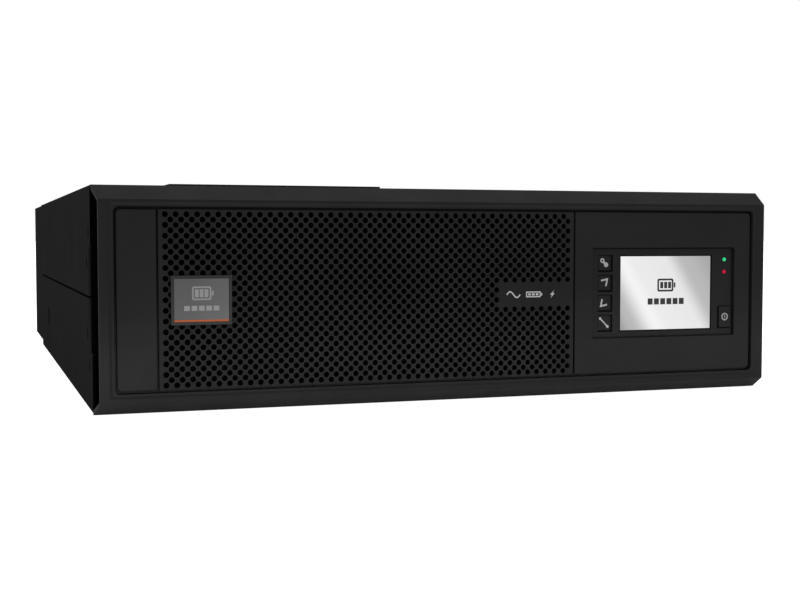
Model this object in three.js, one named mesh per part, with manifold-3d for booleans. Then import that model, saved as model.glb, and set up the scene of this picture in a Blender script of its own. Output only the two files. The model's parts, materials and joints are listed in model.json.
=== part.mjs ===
// A 3U uninterruptible power supply module for a rack or tower, with the battery cabinet left separate.
// Units are millimetres and +Z is up. The front faces -Y. The origin is the bottom centre of the whole part.
// Pieces are drawn in the machine's own frame: X from the centre line, Y back from the front plane and
// Z up from the bezel's lower edge. One group then carries that frame to the origin.

import * as THREE from "three";
import { mergeVertices } from "three/addons/utils/BufferGeometryUtils.js";
import Module from "manifold-3d";

const wasm = await Module();
wasm.setup();

// ---------------------------------------------------------------- driving dimensions

const running = 0.3; // clearance between neighbouring pieces
const sheet = 1.2; // sheet metal thickness
const past = 1; // how far a cutting tool runs past the face it opens

const bezel = {
  half: 217.75,
  height: 130,
  depth: 13,
  bandY: 1.4, // the flat band behind the lip's front plane
  bandLeft: -214.9, // the band stops short on the left, where a dark channel shows beside it
  bandRight: 216.8,
  bandBottom: 7.05,
  bandTop: 121.7,
  bandThickness: 1.5,
  slopeWall: 2.2, // wall thickness of the sloped top and bottom faces
  slopeFrontRise: 1.2, // how much nearer the band the hollow comes at its front
  collarWall: 1.6,
  ledge: 4, // width of the ledge that the inserts rest on
};
const opening = { left: -207, right: 207.2, bottom: 12.6, top: 117.7, corner: 3 };
const lip = { width: 2.6, chamfer: 1.5 };
const insert = { gap: 1.6, frontY: 1.2, thickness: 3, corner: 2.4, ledgeY: 5, ledgeThickness: 1.5 };
const split = { blankX: -182.7, fasciaX: 77.2, gap: 1.2, barHalf: 2.1 };
const grilleThickness = 2;
const clip = { x: 150, width: 12, reach: 26, slotMargin: 1 };
const filter = { frontY: 7, rearY: 13, margin: 1, right: 80 };

const badge = { left: -175.4, right: -140.6, bottom: 50.7, top: 78.8, rim: 1.6, pocket: 0.6, thickness: 1 };

const display = {
  left: 89.9,
  right: 194.3,
  bottom: 36.1,
  top: 93.8,
  corner: 1.2,
  groove: 0.8,
  faceY: 3.4,
  flange: 2.5,
};
const screen = { left: 110.9, right: 178.1, bottom: 40.4, top: 88.7, sunk: 0.6, rearY: 8, border: 1.5 };
// The keys are sunk below the display face, so they stand proud by less than nothing.
const key = { x: 99.9, topZ: 84.1, pitch: 12.72, width: 9.6, height: 9.8, proud: -0.7, backY: 7 };
const keyNames = ["key_escape", "key_up", "key_down", "key_enter"];
const power = { x: 188, z: 48.2, width: 8.6, height: 13.6, proud: 1, backY: 7.4 };
const lamp = { x: 187.9, radius: 1.2, length: 5, greenZ: 85.9, redZ: 77.8 };
const displayBoard = { y: 9, thickness: 1.6, margin: 3 };

const shell = {
  half: 217.7,
  frontY: 13.8,
  upperWallY: 20, // the top cover's side walls start further back than its roof
  rearY: 500,
  bottom: 1.3,
  top: 129.9,
  seamLow: 65.2,
  seamHigh: 66.7,
  lipLow: 60,
  lipHigh: 72,
  lipFrontY: 30,
  lipRearY: 490,
};
const notch = { rearY: 31, low: 34, high: 96, corner: 5 };
const earHoles = { radius: 4, places: [[31.5, 26.4], [42, 44.6], [42, 85.4], [31.5, 103.7]] };
const sideSlot = { y: 404, half: 10, low: 27, high: 40 };
const accessPlate = { left: -169, right: -37, frontY: 45, rearY: 150, low: 130.2, high: 132.2 };
const bulkhead = { y: 20, half: 214, low: 3.7, high: 127.8 };
const airWindow = { left: -172, right: 68, bottom: 22, top: 108 };
const cableWindow = { left: 100, right: 182, bottom: 42, top: 88 };
const foot = { x: 180, frontY: 45, rearY: 455, radius: 9, lift: 0.5 };

const housing = { half: 217.7, frontY: 500.3, rearY: 608, bottom: 5.5, top: 129.3 };
const spigot = { half: 215.9, frontY: 492, bottom: 7.9, top: 127.9, step: 1.5 }; // slides into the main case
const hardware = 16; // what stands behind the rear plate
const plateY = housing.rearY - sheet;
const outsideY = housing.rearY + running;

const mainBoard = { half: 195, frontY: 60, rearY: 480, low: 14, thickness: 1.6 };
const pillars = { x: 180, ys: [75, 270, 465], radius: 3 };
const partsZ = mainBoard.low + mainBoard.thickness + running; // where the parts on the power board stand
const heatsink = { inner: 70, outer: 170, frontY: 200, rearY: 440, base: 8, top: 100, fins: 9, fin: 3 };
const busCapacitor = { radius: 17.5, top: 96, places: [[-30, 225], [30, 225], [-30, 275], [30, 275]] };
const boostChoke = { ring: 24, wire: 11, places: [[90, 115], [160, 115]] };
const inverterChoke = { ring: 30, wire: 15, x: -130, y: 125 };
const auxTransformer = { half: 25, frontY: 85, rearY: 130, top: 60, bulge: 8, bobbin: 15, inset: 6 };
const staticSwitch = { half: 28, frontY: 335, rearY: 420, top: 46 };
const controlBoard = { half: 60, frontY: 325, rearY: 470, low: 106, post: 3, inset: 8 };
const filterBoard = { left: -195, right: 20, frontY: 505, rearY: 575, low: 12 };
const filterChoke = { ring: 20, wire: 9, x: -60, y: 540 };

const fan = {
  xs: [165, 78],
  z: 66,
  side: 80,
  deep: 25,
  bore: 38,
  hub: 18,
  tip: 36.5,
  blades: 7,
  bladeThickness: 1.6,
  bladePitch: 0.7, // radians from the axis
  frontGap: 4,
  rearGap: 2,
  armHeight: 4,
  armDeep: 3,
};
const guard = { rings: [14, 26, 38], wire: 1.2, deep: 2.4, sides: 20 };
const breaker = { x: -45, z: 42.5, width: 36, height: 45, frontY: 585, proud: 8 };
const lever = { width: 27, axle: 3, pivotBehind: 4, reach: 11, thick: 2.5, tilt: 30, slot: 14, slotDepth: 8 };
const battery = { x: 8, z: 36, width: 46, height: 26, frontY: 590, proud: 10 };
const batterySocket = { width: 34, height: 14, deep: 14, flange: 4 };
const terminals = {
  left: -196,
  right: -92,
  low: 24,
  high: 56,
  frontY: 596,
  screwsY: 609,
  rearY: 615,
  barriers: 6,
  barrier: 2,
  margin: 3,
};
const terminalBox = { left: -204, right: -84, low: 12, high: 74, rearY: 622, wall: 1.5, flange: 6 };
const grommet = { xs: [-174, -114], z: 42, hole: 10.5, neck: 13.2, flange: 16, lip: 1.7 };
const cardSlot = { x: -20, z: 103, width: 100, height: 36, overlap: 5 };
const usb = {
  x: -88,
  z: 106,
  width: 12,
  height: 11,
  inside: 16,
  proud: 0.8,
  socketWidth: 8.4,
  socketHeight: 7.8,
  deep: 9,
};
const parallel = {
  x: -165,
  zs: [112, 94],
  width: 39,
  height: 12.5,
  inside: 10,
  proud: 1,
  shellWidth: 25,
  shellHeight: 8.4,
  shellProud: 6,
};
const dryContact = { x: -118, z: 86, width: 28, height: 9, inside: 8, proud: 7 };
const earth = { x: -70.5, z: 13.5, radius: 3, nut: 5.2, nutDeep: 4, inside: 8, proud: 9 };

const colours = {
  moulding: 0x1b1b1d,
  painted: 0x161617,
  rubber: 0x0b0b0b,
  board: 0x14402a,
  darkMetal: 0x2a2a2c,
  bareMetal: 0xa0a4a8,
  copper: 0x8a4b22,
  sleeve: 0x1a2438,
  screen: 0xc9cbce,
  green: 0x14d06a,
  red: 0xd0142c,
  silver: 0x6f7174,
};

// ---------------------------------------------------------------- solids

function solidOf(geometry) {
  const bare = geometry.clone();
  bare.deleteAttribute("normal");
  bare.deleteAttribute("uv");
  const merged = mergeVertices(bare, 1e-4);
  return new wasm.Manifold(
    new wasm.Mesh({
      numProp: 3,
      vertProperties: merged.attributes.position.array,
      triVerts: new Uint32Array(merged.index.array),
    }),
  );
}

function geometryOf(solid) {
  const mesh = solid.getMesh();
  const geometry = new THREE.BufferGeometry();
  geometry.setAttribute("position", new THREE.BufferAttribute(mesh.vertProperties, 3));
  geometry.setIndex(new THREE.BufferAttribute(mesh.triVerts, 1));
  const flat = geometry.toNonIndexed();
  flat.computeVertexNormals();
  return flat;
}

const join = (first, ...others) =>
  geometryOf(others.reduce((sum, other) => sum.add(solidOf(other)), solidOf(first)));

const cut = (body, ...tools) =>
  geometryOf(tools.reduce((rest, tool) => rest.subtract(solidOf(tool)), solidOf(body)));

// A box between two values along each axis.
function block([x0, x1], [y0, y1], [z0, z1]) {
  const geometry = new THREE.BoxGeometry(x1 - x0, y1 - y0, z1 - z0);
  return geometry.translate((x0 + x1) / 2, (y0 + y1) / 2, (z0 + z1) / 2);
}

// A box of a given width and height round a centre, between two depths.
const blockAt = (x, z, width, height, ys) =>
  block([x - width / 2, x + width / 2], ys, [z - height / 2, z + height / 2]);

// A box whose front face has other limits than its back face.
function taperedBlock(frontY, front, backY, back) {
  const geometry = block(back.x, [frontY, backY], back.z);
  const places = geometry.attributes.position;
  for (let i = 0; i < places.count; i += 1) {
    if (places.getY(i) > (frontY + backY) / 2) continue;
    places.setX(i, places.getX(i) < 0 ? front.x[0] : front.x[1]);
    places.setZ(i, places.getZ(i) < (back.z[0] + back.z[1]) / 2 ? front.z[0] : front.z[1]);
  }
  return geometry;
}

function rod(axis, radius, [from, to], [u, v], sides = 20) {
  const geometry = new THREE.CylinderGeometry(radius, radius, to - from, sides);
  const middle = (from + to) / 2;
  if (axis === "x") return geometry.rotateZ(Math.PI / 2).translate(middle, u, v);
  if (axis === "y") return geometry.translate(u, middle, v);
  return geometry.rotateX(Math.PI / 2).translate(u, v, middle);
}

// A ring round Y from a closed profile of [radius, y] points, at a given X and Z.
function ringAlongY(profile, x, z, sides = 24) {
  const points = profile.map(([radius, y]) => new THREE.Vector2(radius, y));
  return new THREE.LatheGeometry([...points, points[0].clone()], sides).translate(x, 0, z);
}

function coil({ ring, wire }, x, y, z) {
  return new THREE.TorusGeometry(ring, wire, 10, 24).translate(x, y, z);
}

// A rectangle in X and Z with its own radius at each corner, in the order of the corners below.
function roundedOutline(left, right, bottom, top, [lowLeft, lowRight, highRight, highLeft]) {
  const outline = new THREE.Shape();
  outline.moveTo(left + lowLeft, bottom);
  outline.lineTo(right - lowRight, bottom);
  if (lowRight) outline.absarc(right - lowRight, bottom + lowRight, lowRight, -Math.PI / 2, 0);
  outline.lineTo(right, top - highRight);
  if (highRight) outline.absarc(right - highRight, top - highRight, highRight, 0, Math.PI / 2);
  outline.lineTo(left + highLeft, top);
  if (highLeft) outline.absarc(left + highLeft, top - highLeft, highLeft, Math.PI / 2, Math.PI);
  outline.lineTo(left, bottom + lowLeft);
  if (lowLeft) outline.absarc(left + lowLeft, bottom + lowLeft, lowLeft, Math.PI, 1.5 * Math.PI);
  return outline;
}

// An outline in X and Z, made solid between two depths.
function slab(outline, [y0, y1], curveSegments = 4) {
  const geometry = new THREE.ExtrudeGeometry(outline, { depth: y1 - y0, bevelEnabled: false, curveSegments });
  return geometry.rotateX(Math.PI / 2).translate(0, y1, 0);
}

const evenSlab = (frame, corner, ys) =>
  slab(roundedOutline(frame.left, frame.right, frame.bottom, frame.top, Array(4).fill(corner)), ys);

const grown = (frame, by) => ({
  left: frame.left - by,
  right: frame.right + by,
  bottom: frame.bottom - by,
  top: frame.top + by,
});

const machine = new THREE.Group();
machine.position.set(0, -(housing.rearY + hardware) / 2, foot.lift);

function add(name, geometry, colour, roughness = 0.6, metalness = 0) {
  const material = new THREE.MeshStandardMaterial({ color: colour, roughness, metalness });
  const mesh = new THREE.Mesh(geometry, material);
  mesh.name = name;
  machine.add(mesh);
}

// ---------------------------------------------------------------- bezel

// The collar is the wall round the opening, behind the band.
const collarFrame = grown(opening, bezel.collarWall);

function bezelHollow() {
  const frontY = bezel.bandY + bezel.bandThickness;
  const sides = [-bezel.half - past, bezel.half + past];
  const front = {
    x: sides,
    z: [bezel.bandBottom + bezel.slopeFrontRise, bezel.bandTop - bezel.slopeFrontRise],
  };
  const back = { x: sides, z: [bezel.slopeWall, bezel.height - bezel.slopeWall] };
  const hollow = taperedBlock(frontY, front, bezel.depth + past, back);
  return cut(hollow, evenSlab(collarFrame, opening.corner, [frontY - past, bezel.depth + 2 * past]));
}

function bezelLip() {
  const slope = lip.chamfer / bezel.bandY;
  const crest = grown(opening, lip.width - lip.chamfer);
  const base = grown(crest, slope * (bezel.bandY + past));
  return taperedBlock(
    0,
    { x: [crest.left, crest.right], z: [crest.bottom, crest.top] },
    bezel.bandY + past,
    { x: [base.left, base.right], z: [base.bottom, base.top] },
  );
}

function insertLedge() {
  const ys = [insert.ledgeY, insert.ledgeY + insert.ledgeThickness];
  const tall = [opening.bottom - past, opening.top + past];
  const edge = evenSlab(grown(opening, bezel.collarWall / 2), opening.corner, ys);
  const middle = evenSlab(grown(opening, -bezel.ledge), 0, [ys[0] - past, ys[1] + past]);
  const bars = [split.blankX, split.fasciaX].map((x) =>
    block([x - split.barHalf, x + split.barHalf], ys, tall),
  );
  return join(cut(edge, middle), ...bars);
}

const clipHeights = [
  [collarFrame.bottom, opening.bottom],
  [opening.top, collarFrame.top],
];
const clipSpan = (x, grow) => [x - clip.width / 2 - grow, x + clip.width / 2 + grow];

function bezelClips() {
  return [-clip.x, clip.x].flatMap((x) =>
    clipHeights.map((zs) => block(clipSpan(x, 0), [bezel.depth - past, clip.reach], zs)),
  );
}

function bezelFrame() {
  const front = { x: [bezel.bandLeft, bezel.bandRight], z: [bezel.bandBottom, bezel.bandTop] };
  const back = { x: [-bezel.half, bezel.half], z: [0, bezel.height] };
  const outer = join(taperedBlock(bezel.bandY, front, bezel.depth, back), bezelLip());
  const through = evenSlab(opening, opening.corner, [-past, bezel.depth + past]);
  return join(cut(outer, bezelHollow(), through), insertLedge(), ...bezelClips());
}

const insertZ = [opening.bottom + insert.gap, opening.top - insert.gap];
const insertY = [insert.frontY, insert.frontY + insert.thickness];

function blankPanel() {
  const left = opening.left + insert.gap;
  const right = split.blankX - split.gap / 2;
  return slab(roundedOutline(left, right, ...insertZ, [insert.corner, 0, 0, insert.corner]), insertY);
}

function intakeGrille() {
  const xs = [split.blankX + split.gap / 2, split.fasciaX - split.gap / 2];
  return block(xs, [insert.frontY, insert.frontY + grilleThickness], insertZ);
}

function controlFascia() {
  const left = split.fasciaX + split.gap / 2;
  const right = opening.right - insert.gap;
  const outline = roundedOutline(left, right, ...insertZ, [0, insert.corner, insert.corner, 0]);
  return cut(slab(outline, insertY), evenSlab(display, display.corner, [0, insertY[1] + past]));
}

function badgeBase() {
  const backY = badge.thickness;
  const pocket = evenSlab(grown(badge, -badge.rim), 0, [-past, badge.pocket]);
  return cut(evenSlab(badge, 0, [0, backY]), pocket);
}

function badgePlate() {
  const inside = grown(badge, -badge.rim - running / 2);
  return evenSlab(inside, 0, [badge.pocket / 2, badge.pocket - running / 3]);
}

// The foam pad that keeps dust out, behind the grille.
function dustFilter() {
  const { left, bottom, top } = grown(opening, -filter.margin);
  return block([left, filter.right], [filter.frontY, filter.rearY], [bottom, top]);
}

add("bezel_frame", bezelFrame(), colours.moulding);
add("blank_panel", blankPanel(), colours.moulding);
add("intake_grille", intakeGrille(), colours.moulding);
add("control_fascia", controlFascia(), colours.moulding);
add("dust_filter", dustFilter(), colours.rubber, 0.95);
add("badge_base", badgeBase(), colours.moulding);
add("badge_plate", badgePlate(), colours.silver, 0.35, 0.6);

// ---------------------------------------------------------------- display and keys

const faceY = display.faceY;
const flangeY = [insertY[1] + running, insertY[1] + running + sheet];
const keyZ = (index) => key.topZ - index * key.pitch;

function displayHousing() {
  const face = evenSlab(grown(display, -display.groove), display.corner, [faceY, flangeY[1]]);
  const flange = evenSlab(grown(display, display.flange), display.corner, flangeY);
  const ys = [faceY - past, flangeY[1] + past];
  const holes = keyNames.map((name, index) =>
    blockAt(key.x, keyZ(index), key.width + 2 * running, key.height + 2 * running, ys),
  );
  holes.push(blockAt(power.x, power.z, power.width + 2 * running, power.height + 2 * running, ys));
  holes.push(evenSlab(grown(screen, running), 0, ys));
  for (const z of [lamp.greenZ, lamp.redZ]) {
    holes.push(rod("y", lamp.radius + running / 2, ys, [lamp.x, z], 16));
  }
  return cut(join(face, flange), ...holes);
}

function pushButton(x, z, { width, height, proud, backY }) {
  return blockAt(x, z, width, height, [faceY - proud, backY]);
}

function lcdModule() {
  const rimY = flangeY[1] + running;
  const window = evenSlab(screen, 0, [faceY + screen.sunk, rimY + past]);
  return join(window, evenSlab(grown(screen, screen.border), 0, [rimY, screen.rearY]));
}

function displayBoardSolid() {
  const ys = [displayBoard.y, displayBoard.y + displayBoard.thickness];
  return evenSlab(grown(display, -displayBoard.margin), 0, ys);
}

add("display_housing", displayHousing(), colours.moulding, 0.5);
add("lcd_module", lcdModule(), colours.screen, 0.2);
add("display_board", displayBoardSolid(), colours.board);
keyNames.forEach((name, index) => add(name, pushButton(key.x, keyZ(index), key), colours.moulding));
add("power_button", pushButton(power.x, power.z, power), colours.moulding);
for (const [name, z, colour] of [
  ["status_lamp", lamp.greenZ, colours.green],
  ["fault_lamp", lamp.redZ, colours.red],
]) {
  add(name, rod("y", lamp.radius, [faceY - running, faceY + lamp.length], [lamp.x, z], 16), colour, 0.3);
}

// ---------------------------------------------------------------- case

const sides = [-1, 1];
const span = (side, a, b) => (side < 0 ? [-b, -a] : [a, b]);

// Rack ear holes, handle slot and finger notch, cut through both side walls.
function sideCuts() {
  const across = [-shell.half - past, shell.half + past];
  const holes = earHoles.places.map((place) => rod("x", earHoles.radius, across, place, 16));
  const slotY = [sideSlot.y - sideSlot.half, sideSlot.y + sideSlot.half];
  const slot = block(across, slotY, [sideSlot.low, sideSlot.high]);
  const notchRear = notch.rearY - notch.corner;
  const notchBody = block(across, [shell.frontY - past, notchRear], [notch.low, notch.high]);
  const cornerZ = [notch.low + notch.corner, notch.high - notch.corner];
  const notchFloor = block(across, [notchRear - past, notch.rearY], cornerZ);
  const corners = cornerZ.map((z) => rod("x", notch.corner, across, [notchRear, z], 24));
  return join(notchBody, notchFloor, ...corners, slot, ...holes);
}

// Only the walls are cut: what stands between them is left whole.
function cutSides(body) {
  const between = block([-bulkhead.half, bulkhead.half], [0, shell.rearY + past], [0, shell.top + past]);
  return cut(body, cut(sideCuts(), between));
}

function baseTray() {
  const long = [shell.frontY, shell.rearY];
  const floor = block([-shell.half, shell.half], long, [shell.bottom, shell.bottom + sheet]);
  const walls = sides.map((side) =>
    block(span(side, shell.half - sheet, shell.half), long, [shell.bottom, shell.seamLow]),
  );
  const lipY = [shell.lipFrontY, shell.lipRearY];
  const lipOuter = shell.half - sheet - running;
  const lips = sides.map((side) =>
    block(span(side, lipOuter - sheet, lipOuter), lipY, [shell.lipLow, shell.lipHigh]),
  );
  const joggles = sides.map((side) =>
    block(span(side, lipOuter - sheet, shell.half - sheet / 2), lipY, [shell.lipLow, shell.seamLow - past]),
  );
  const rearFlange = block(
    [-shell.half + sheet / 2, shell.half - sheet / 2],
    [shell.rearY - sheet, shell.rearY],
    [shell.bottom + sheet / 2, spigot.bottom - running],
  );
  const studZ = [shell.bottom + sheet / 2, mainBoard.low - running];
  const studs = sides.flatMap((side) =>
    pillars.ys.map((y) => rod("z", pillars.radius, studZ, [side * pillars.x, y], 12)),
  );
  return cutSides(join(floor, ...walls, ...joggles, ...lips, rearFlange, ...studs));
}

function topCover() {
  const long = [shell.frontY, shell.rearY];
  const roof = block([-shell.half, shell.half], long, [shell.top - sheet, shell.top]);
  const wallY = [shell.upperWallY, shell.rearY];
  const walls = sides.map((side) =>
    block(span(side, shell.half - sheet, shell.half), wallY, [shell.seamHigh, shell.top]),
  );
  return cutSides(join(roof, ...walls));
}

function frontBulkhead() {
  const ys = [bulkhead.y, bulkhead.y + sheet];
  const through = [ys[0] - past, ys[1] + past];
  const plate = block([-bulkhead.half, bulkhead.half], ys, [bulkhead.low, bulkhead.high]);
  const slots = [-clip.x, clip.x].flatMap((x) =>
    clipHeights.map(([low, high]) =>
      block(clipSpan(x, clip.slotMargin), through, [low - clip.slotMargin, high + clip.slotMargin]),
    ),
  );
  const windows = [airWindow, cableWindow].map(({ left, right, bottom, top }) =>
    block([left, right], through, [bottom, top]),
  );
  return cut(plate, ...windows, ...slots);
}

function topAccessPlate() {
  return block(
    [accessPlate.left, accessPlate.right],
    [accessPlate.frontY, accessPlate.rearY],
    [accessPlate.low, accessPlate.high],
  );
}

add("base_tray", baseTray(), colours.painted, 0.7);
add("top_cover", topCover(), colours.painted, 0.7);
add("front_bulkhead", frontBulkhead(), colours.painted, 0.7);
add("top_access_plate", topAccessPlate(), colours.painted, 0.7);
for (const [end, y] of [["front", foot.frontY], ["rear", foot.rearY]]) {
  for (const [hand, x] of [["left", -foot.x], ["right", foot.x]]) {
    const pad = rod("z", foot.radius, [-foot.lift, shell.bottom - running / 6], [x, y], 24);
    add(`foot_${end}_${hand}`, pad, colours.rubber, 0.9);
  }
}

// ---------------------------------------------------------------- inside

function mainBoardSolid() {
  const ys = [mainBoard.frontY, mainBoard.rearY];
  return block([-mainBoard.half, mainBoard.half], ys, [mainBoard.low, mainBoard.low + mainBoard.thickness]);
}

// A finned extrusion whose air channels run front to back.
function finnedSink(side) {
  const ys = [heatsink.frontY, heatsink.rearY];
  const base = block(span(side, heatsink.inner, heatsink.outer), ys, [partsZ, partsZ + heatsink.base]);
  const pitch = (heatsink.outer - heatsink.inner - heatsink.fin) / (heatsink.fins - 1);
  const fins = Array.from({ length: heatsink.fins }, (_, index) => {
    const inner = heatsink.inner + index * pitch;
    return block(span(side, inner, inner + heatsink.fin), ys, [partsZ + heatsink.base / 2, heatsink.top]);
  });
  return join(base, ...fins);
}

// A laminated core with its winding bobbin bulging at both ends.
function transformerSolid() {
  const { half, frontY, rearY, top, bulge, bobbin, inset } = auxTransformer;
  const core = block([-half, half], [frontY + bulge, rearY - bulge], [partsZ, top]);
  return join(core, block([-bobbin, bobbin], [frontY, rearY], [partsZ + inset, top - inset]));
}

function staticSwitchModule() {
  const { half, frontY, rearY, top } = staticSwitch;
  return block([-half, half], [frontY, rearY], [partsZ, top]);
}

function controlBoardSolid() {
  const { half, frontY, rearY, low, post, inset } = controlBoard;
  const board = block([-half, half], [frontY, rearY], [low, low + mainBoard.thickness]);
  const posts = sides.flatMap((side) =>
    [frontY + inset, rearY - inset].map((y) =>
      rod("z", post, [partsZ, low + mainBoard.thickness / 2], [side * (half - inset), y], 12),
    ),
  );
  return join(board, ...posts);
}

function filterBoardSolid() {
  const { left, right, frontY, rearY, low } = filterBoard;
  return block([left, right], [frontY, rearY], [low, low + mainBoard.thickness]);
}

add("power_board", mainBoardSolid(), colours.board);
add("rectifier_heatsink", finnedSink(1), colours.bareMetal, 0.4, 0.9);
add("inverter_heatsink", finnedSink(-1), colours.bareMetal, 0.4, 0.9);
busCapacitor.places.forEach((place, index) => {
  const can = rod("z", busCapacitor.radius, [partsZ, busCapacitor.top], place, 24);
  add(`bus_capacitor_${index + 1}`, can, colours.sleeve, 0.4);
});
boostChoke.places.forEach(([x, y], index) => {
  add(`boost_choke_${index + 1}`, coil(boostChoke, x, y, partsZ + boostChoke.wire), colours.copper);
});
const inverterChokeZ = partsZ + inverterChoke.wire;
add("inverter_choke", coil(inverterChoke, inverterChoke.x, inverterChoke.y, inverterChokeZ), colours.copper);
add("aux_transformer", transformerSolid(), colours.darkMetal);
add("static_switch_module", staticSwitchModule(), colours.darkMetal);
add("control_board", controlBoardSolid(), colours.board);
add("filter_board", filterBoardSolid(), colours.board);
const filterChokeZ = filterBoard.low + mainBoard.thickness + running + filterChoke.wire;
add("filter_choke", coil(filterChoke, filterChoke.x, filterChoke.y, filterChokeZ), colours.copper);

// ---------------------------------------------------------------- rear

const breakerY = [breaker.frontY, housing.rearY + breaker.proud];
const batteryY = [battery.frontY, housing.rearY + battery.proud];
const throughPlate = [plateY - past, housing.rearY + past];
const plateHole = ({ x, z, width, height }) =>
  blockAt(x, z, width + 2 * running, height + 2 * running, throughPlate);

function rearHousing() {
  const box = ({ half, bottom, top }, ys, wall = 0) =>
    block([-half + wall, half - wall], ys, [bottom + wall, top - wall]);
  const stepY = housing.frontY + spigot.step;
  const outer = join(box(housing, [housing.frontY, housing.rearY]), box(spigot, [spigot.frontY, stepY]));
  const inner = join(
    box(housing, [stepY, plateY], sheet),
    box(spigot, [spigot.frontY - past, stepY + past], sheet),
  );
  const holes = [breaker, battery, usb, dryContact].map(plateHole);
  for (const z of parallel.zs) holes.push(plateHole({ ...parallel, z }));
  for (const x of fan.xs) holes.push(rod("y", fan.bore, throughPlate, [x, fan.z], 32));
  holes.push(rod("y", earth.radius + running, throughPlate, [earth.x, earth.z], 16));
  const cardHole = [cardSlot.width - 2 * cardSlot.overlap, cardSlot.height - 2 * cardSlot.overlap];
  holes.push(blockAt(cardSlot.x, cardSlot.z, ...cardHole, throughPlate));
  const { left, right, low, high, margin } = terminals;
  holes.push(block([left - margin, right + margin], throughPlate, [low - margin, high + margin]));
  return cut(outer, inner, ...holes);
}

function fanFrame(x) {
  const ys = [plateY - running - fan.deep, plateY - running];
  const bore = rod("y", fan.bore, [ys[0] - past, ys[1] + past], [x, fan.z], 32);
  const arm = blockAt(x, fan.z, fan.side - 2 * sheet, fan.armHeight, [ys[0], ys[0] + fan.armDeep]);
  return join(cut(blockAt(x, fan.z, fan.side, fan.side, ys), bore), arm);
}

// A hub with pitched blades, drawn round the Y axis.
function fanRotor(x) {
  const front = plateY - running - fan.deep + fan.frontGap;
  const rear = plateY - running - fan.rearGap;
  const middle = (front + rear) / 2;
  const hub = rod("y", fan.hub, [front, rear], [0, 0], 24);
  const blades = Array.from({ length: fan.blades }, (_, index) => {
    const inner = fan.hub - 2 * past;
    const outer = fan.tip - past;
    const blade = new THREE.BoxGeometry(fan.bladeThickness, rear - front, outer - inner);
    blade.rotateZ(fan.bladePitch).translate(0, middle, (outer + inner) / 2);
    return blade.rotateY((index * 2 * Math.PI) / fan.blades);
  });
  const face = block([-fan.side, fan.side], [front, rear], [-fan.side, fan.side]);
  const inside = solidOf(join(hub, ...blades)).intersect(solidOf(face));
  return geometryOf(inside).translate(x, 0, fan.z);
}

function fanGuard(x) {
  const ys = [outsideY, outsideY + guard.deep];
  const rings = guard.rings.map((radius) =>
    ringAlongY(
      [
        [radius - guard.wire, ys[0]],
        [radius + guard.wire, ys[0]],
        [radius + guard.wire, ys[1]],
        [radius - guard.wire, ys[1]],
      ],
      x,
      fan.z,
      guard.sides,
    ),
  );
  const reach = 2 * guard.rings.at(-1);
  const bars = [blockAt(x, fan.z, reach, 2 * guard.wire, ys), blockAt(x, fan.z, 2 * guard.wire, reach, ys)];
  return join(...rings, ...bars);
}

function breakerBody() {
  const body = blockAt(breaker.x, breaker.z, breaker.width, breaker.height, breakerY);
  const slot = [breakerY[1] - lever.slotDepth, breakerY[1] + past];
  return cut(body, blockAt(breaker.x, breaker.z, lever.width + 2 * running, lever.slot, slot));
}

const leverPivotY = breakerY[1] - lever.pivotBehind;

function breakerLever() {
  const half = lever.width / 2;
  const axle = rod("x", lever.axle, [-half, half], [0, 0], 16);
  const paddle = block([-half, half], [0, lever.reach], [-lever.thick / 2, lever.thick / 2]);
  const tilted = join(axle, paddle).rotateX(THREE.MathUtils.degToRad(lever.tilt));
  return tilted.translate(breaker.x, leverPivotY, breaker.z);
}

function batteryConnector() {
  const { x, z, width, height } = battery;
  const body = blockAt(x, z, width, height, batteryY);
  const rim = blockAt(x, z, width + 2 * batterySocket.flange, height + 2 * batterySocket.flange, [
    outsideY,
    outsideY + sheet,
  ]);
  const socket = [batteryY[1] - batterySocket.deep, batteryY[1] + past];
  return cut(join(body, rim), blockAt(x, z, batterySocket.width, batterySocket.height, socket));
}

// A row of screw terminals parted by barriers.
function terminalBlock() {
  const { left, right, low, high, frontY, screwsY, rearY, barriers, barrier } = terminals;
  const base = block([left, right], [frontY, screwsY], [low, high]);
  const pitch = (right - left - barrier) / (barriers - 1);
  const walls = Array.from({ length: barriers }, (_, index) =>
    block([left + index * pitch, left + index * pitch + barrier], [frontY, rearY], [low, high]),
  );
  return join(base, ...walls);
}

function terminalCover() {
  const { left, right, low, high, rearY, wall, flange } = terminalBox;
  const box = block([left, right], [outsideY, rearY], [low, high]);
  const flanges = block([left - flange, right + flange], [outsideY, outsideY + wall], [low, high]);
  const insideY = [outsideY - past, rearY - wall];
  const inside = block([left + wall, right - wall], insideY, [low + wall, high - wall]);
  const throughBack = [rearY - wall - past, rearY + past];
  const holes = grommet.xs.map((x) => rod("y", grommet.neck + running, throughBack, [x, grommet.z], 24));
  return cut(join(box, flanges), inside, ...holes);
}

function cableGrommet(x) {
  const { hole, neck, flange } = grommet;
  const inner = terminalBox.rearY - terminalBox.wall - running / 2;
  const outer = terminalBox.rearY + running / 2;
  return ringAlongY(
    [
      [hole, inner - grommet.lip],
      [flange, inner - grommet.lip],
      [flange, inner],
      [neck, inner],
      [neck, outer],
      [flange, outer],
      [flange, housing.rearY + hardware],
      [hole, housing.rearY + hardware],
    ],
    x,
    grommet.z,
  );
}

function cardSlotCover() {
  const { x, z, width, height } = cardSlot;
  return blockAt(x, z, width, height, [outsideY, outsideY + sheet]);
}

function usbPort() {
  const ys = [housing.rearY - usb.inside, housing.rearY + usb.proud];
  const socket = blockAt(usb.x, usb.z, usb.socketWidth, usb.socketHeight, [ys[1] - usb.deep, ys[1] + past]);
  return cut(blockAt(usb.x, usb.z, usb.width, usb.height, ys), socket);
}

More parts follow.
